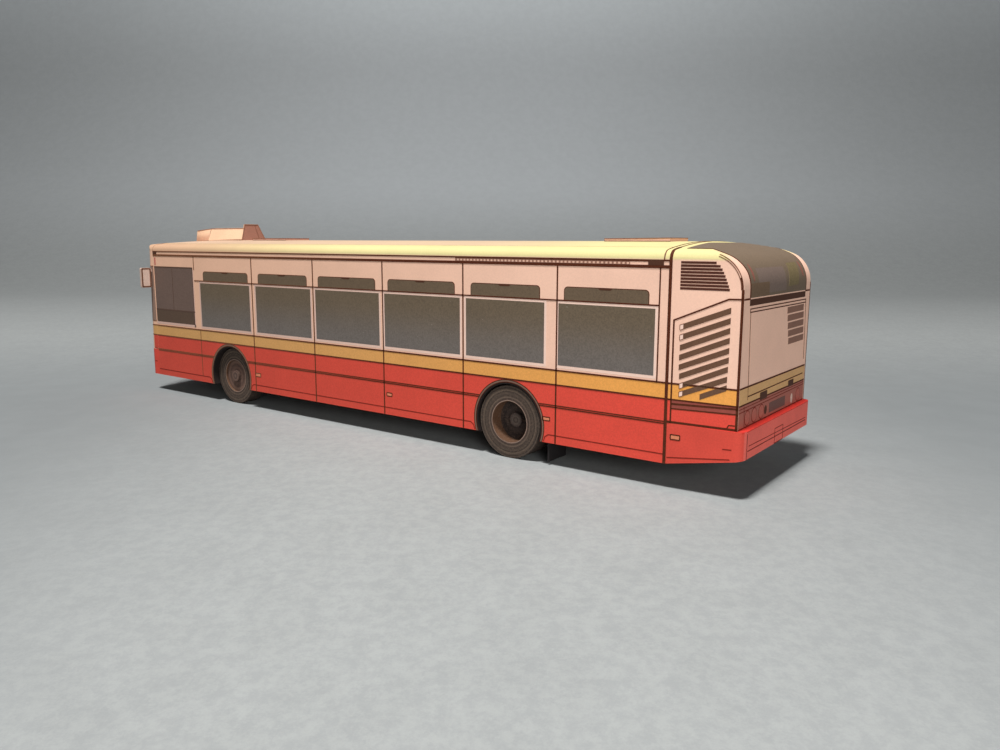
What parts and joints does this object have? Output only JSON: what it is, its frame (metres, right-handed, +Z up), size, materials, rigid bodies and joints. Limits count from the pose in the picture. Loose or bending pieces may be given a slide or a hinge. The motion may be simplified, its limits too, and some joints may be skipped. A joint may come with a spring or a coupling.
{
  "type": "card model of a city bus",
  "caption": "Folded and printed card model of a long low-floor city bus; each axle with its two wheels turns freely.",
  "frame": {"origin": "ground point under the middle of the model", "axes": "+X forward, +Y to the left side of the bus, +Z up"},
  "size_m": [0.1386, 0.034, 0.0366],
  "materials": {
    "card_body": "matte",
    "card_red": "matte",
    "card_roof_units": "matte",
    "card_under": "matte",
    "card_lining": "matte",
    "card_tyre": "matte",
    "card_disc": "matte",
    "card_mirror": "matte",
    "stick_rod": "matte"
  },
  "bodies": {
    "bus_body": {"side_card_left": "card_body", "side_card_right": "card_body", "roof_card": "card_body", "rear_quarter_left": "card_body", "rear_quarter_right": "card_body", "rear_cap": "card_body", "front_card": "card_body", "front_apron": "card_red", "rear_apron": "card_red", "roof_unit": "card_roof_units", "roof_flap_front": "card_roof_units", "roof_flap_rear": "card_roof_units", "floor_card": "card_under", "front_axle_carrier": "card_under", "rear_axle_carrier": "card_under", "mudflap_left": "card_under", "mudflap_right": "card_under", "front_arch_lining_left": "card_lining", "front_arch_lining_right": "card_lining", "rear_arch_lining_left": "card_lining", "rear_arch_lining_right": "card_lining", "mirror_left": "card_mirror", "mirror_right": "card_mirror"},
    "front_wheelset": {"front_axle_rod": "stick_rod", "front_tyre_left": "card_tyre", "front_tyre_right": "card_tyre", "front_wheel_disc_left": "card_disc", "front_wheel_disc_right": "card_disc"},
    "rear_wheelset": {"rear_axle_rod": "stick_rod", "rear_tyre_left": "card_tyre", "rear_tyre_right": "card_tyre", "rear_wheel_disc_left": "card_disc", "rear_wheel_disc_right": "card_disc"}
  },
  "joints": [
    {"name": "front_axle_spin", "type": "hinge", "parent": "bus_body", "child": "front_wheelset", "pos_m": [0.03782, 0, 0.0057], "axis": [0, 1, 0], "continuous": true},
    {"name": "rear_axle_spin", "type": "hinge", "parent": "bus_body", "child": "rear_wheelset", "pos_m": [-0.03242, 0, 0.0057], "axis": [0, 1, 0], "continuous": true}
  ]
}
